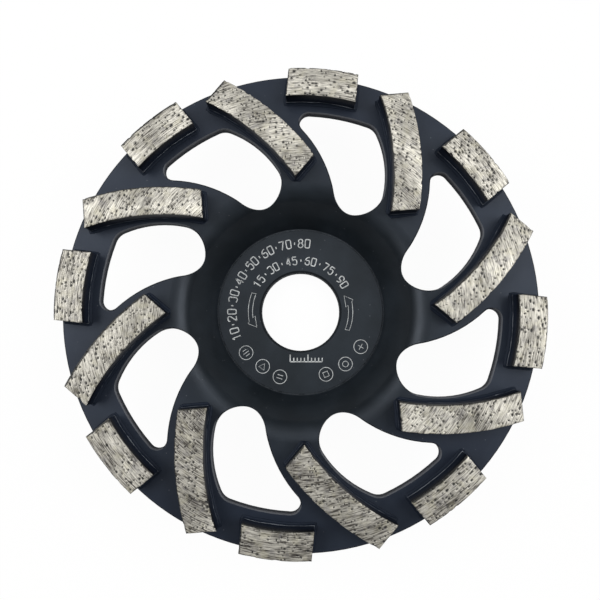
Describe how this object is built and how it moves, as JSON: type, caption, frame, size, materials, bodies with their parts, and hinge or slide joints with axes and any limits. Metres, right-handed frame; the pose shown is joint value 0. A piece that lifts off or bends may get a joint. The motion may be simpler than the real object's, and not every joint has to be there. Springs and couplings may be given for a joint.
{
  "type": "diamond grinding disc",
  "caption": "Dished steel grinding disc with a central bore, curved windows round its rim, and slanted long and edge-following short diamond segments on one face.",
  "frame": {"origin": "on the bore's axis at the hub's back face, where the disc meets the grinder's flange", "axes": "+Z along the bore's axis toward the side that grinds, +X and +Y across the disc"},
  "size_m": [0.125, 0.125, 0.023],
  "materials": {
    "painted_steel": "dark navy-black satin paint over pressed and turned steel",
    "diamond_segment": "bare metal-bond segment, ground on top and painted dark on its sides"
  },
  "bodies": {
    "root": {"disc_body": "painted_steel", "long_segment_1": "diamond_segment", "short_segment_1": "diamond_segment", "long_segment_2": "diamond_segment", "short_segment_2": "diamond_segment", "long_segment_3": "diamond_segment", "short_segment_3": "diamond_segment", "long_segment_4": "diamond_segment", "short_segment_4": "diamond_segment", "long_segment_5": "diamond_segment", "short_segment_5": "diamond_segment", "long_segment_6": "diamond_segment", "short_segment_6": "diamond_segment", "long_segment_7": "diamond_segment", "short_segment_7": "diamond_segment", "long_segment_8": "diamond_segment", "short_segment_8": "diamond_segment"}
  },
  "joints": []
}
